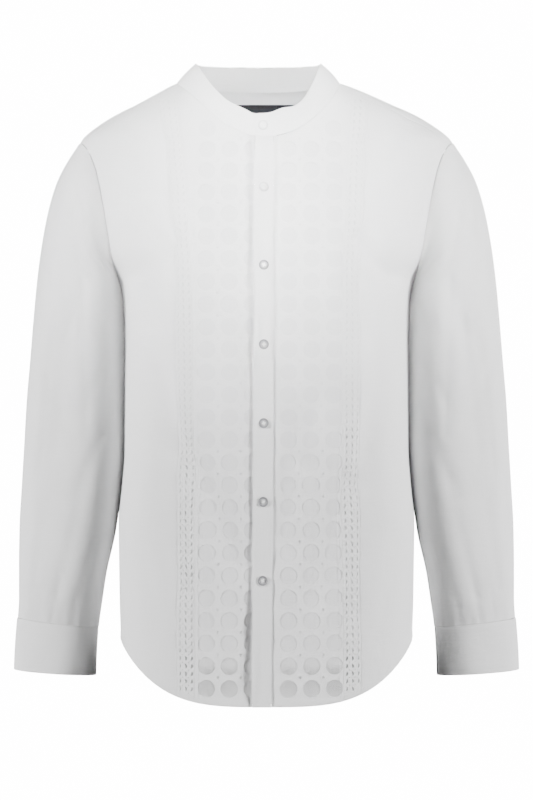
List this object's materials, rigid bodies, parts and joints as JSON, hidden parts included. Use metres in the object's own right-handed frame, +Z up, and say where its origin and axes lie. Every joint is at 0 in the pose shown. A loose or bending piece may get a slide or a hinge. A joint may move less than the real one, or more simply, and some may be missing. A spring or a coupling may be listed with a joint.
{
  "type": "formal shirt",
  "caption": "Long-sleeved formal shirt, filled out as worn: band collar, buttoned placket, cut-out disc insets edged with lace, buttoned cuffs and a curved hem.",
  "frame": {"origin": "middle of the neck opening, level with the collar seam at the sides of the neck, where the wearer holds the shirt up", "axes": "+Z up along the wearer, -Y out of the front, +X to the wearer's left"},
  "size_m": [0.6064, 0.2444, 0.7878],
  "materials": {
    "white_cotton": "plain-woven white cotton, matt",
    "lace_cotton": "white cotton lace with leaf-shaped gaps",
    "lining_cotton": "fine white cotton behind the cut-outs",
    "shell_button": "grey pearl, polished",
    "dark_satin": "plain dark satin, no words"
  },
  "bodies": {
    "root": {"back": "white_cotton", "back_yoke": "white_cotton", "button_1": "shell_button", "button_2": "shell_button", "button_3": "shell_button", "button_4": "shell_button", "button_5": "shell_button", "button_6": "shell_button", "button_collar": "shell_button", "button_cuff_left": "shell_button", "button_cuff_right": "shell_button", "button_stand": "white_cotton", "collar_band": "white_cotton", "cuff_left": "white_cotton", "cuff_right": "white_cotton", "front_side_left": "white_cotton", "front_side_right": "white_cotton", "inset_left": "white_cotton", "inset_right": "white_cotton", "lace_left": "lace_cotton", "lace_right": "lace_cotton", "lining_left": "lining_cotton", "lining_right": "lining_cotton", "neck_label": "dark_satin", "placket": "white_cotton", "sleeve_left": "white_cotton", "sleeve_placket_left": "white_cotton", "sleeve_placket_right": "white_cotton", "sleeve_right": "white_cotton"}
  },
  "joints": []
}
